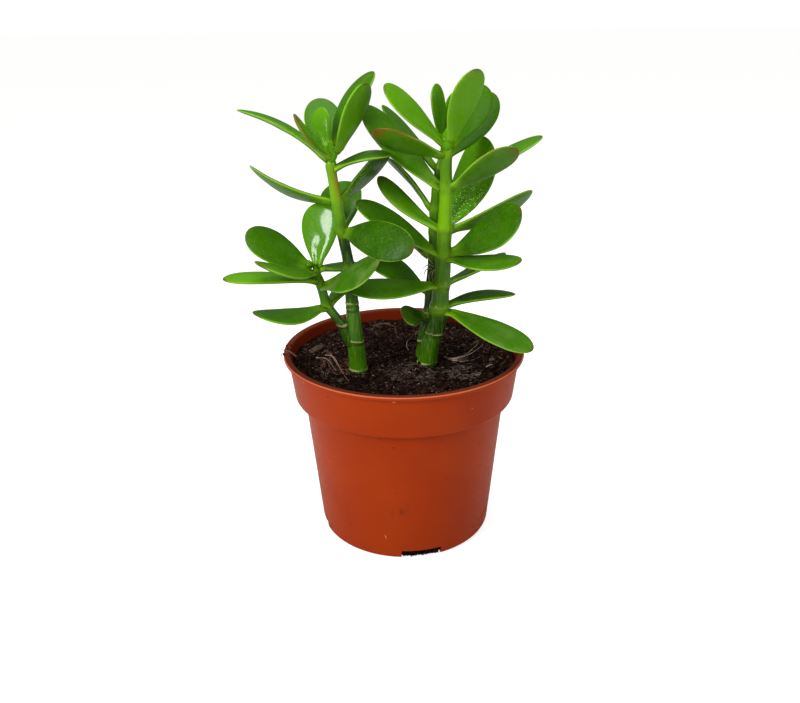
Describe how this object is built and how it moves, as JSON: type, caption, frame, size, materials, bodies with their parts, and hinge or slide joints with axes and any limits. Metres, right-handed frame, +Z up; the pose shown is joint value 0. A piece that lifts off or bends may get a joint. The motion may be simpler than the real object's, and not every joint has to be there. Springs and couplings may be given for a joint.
{
  "type": "potted jade plant",
  "caption": "Young jade plant with fleshy oval leaves on upright green stems, growing in soil in a round tapered plastic pot.",
  "frame": {"origin": "middle of the pot's underside, on the plane it stands on", "axes": "+Z up along the pot's axis, -Y towards the side it is shown from, +X to the right of that view"},
  "size_m": [0.1447, 0.12, 0.2289],
  "materials": {
    "pot_plastic": "satin",
    "potting_soil": "matte",
    "stem_skin": "satin",
    "leaf_skin": "satin"
  },
  "bodies": {
    "root": {"back_leaf_01": "leaf_skin", "back_leaf_02": "leaf_skin", "back_leaf_03": "leaf_skin", "back_leaf_04": "leaf_skin", "back_leaf_05": "leaf_skin", "back_leaf_06": "leaf_skin", "back_leaf_07": "leaf_skin", "back_leaf_08": "leaf_skin", "back_stem": "stem_skin", "branch_leaf_01": "leaf_skin", "branch_leaf_02": "leaf_skin", "branch_leaf_03": "leaf_skin", "branch_leaf_04": "leaf_skin", "branch_leaf_05": "leaf_skin", "branch_leaf_06": "leaf_skin", "branch_leaf_07": "leaf_skin", "branch_leaf_08": "leaf_skin", "left_branch": "stem_skin", "left_leaf_01": "leaf_skin", "left_leaf_02": "leaf_skin", "left_leaf_03": "leaf_skin", "left_leaf_04": "leaf_skin", "left_leaf_05": "leaf_skin", "left_leaf_06": "leaf_skin", "left_leaf_07": "leaf_skin", "left_leaf_08": "leaf_skin", "left_leaf_09": "leaf_skin", "left_leaf_10": "leaf_skin", "left_leaf_11": "leaf_skin", "left_stem": "stem_skin", "pot": "pot_plastic", "right_leaf_01": "leaf_skin", "right_leaf_02": "leaf_skin", "right_leaf_03": "leaf_skin", "right_leaf_04": "leaf_skin", "right_leaf_05": "leaf_skin", "right_leaf_06": "leaf_skin", "right_leaf_07": "leaf_skin", "right_leaf_08": "leaf_skin", "right_leaf_09": "leaf_skin", "right_leaf_10": "leaf_skin", "right_leaf_11": "leaf_skin", "right_leaf_12": "leaf_skin", "right_leaf_13": "leaf_skin", "right_leaf_14": "leaf_skin", "right_leaf_15": "leaf_skin", "right_leaf_16": "leaf_skin", "right_leaf_17": "leaf_skin", "right_stem": "stem_skin", "soil": "potting_soil"}
  },
  "joints": []
}
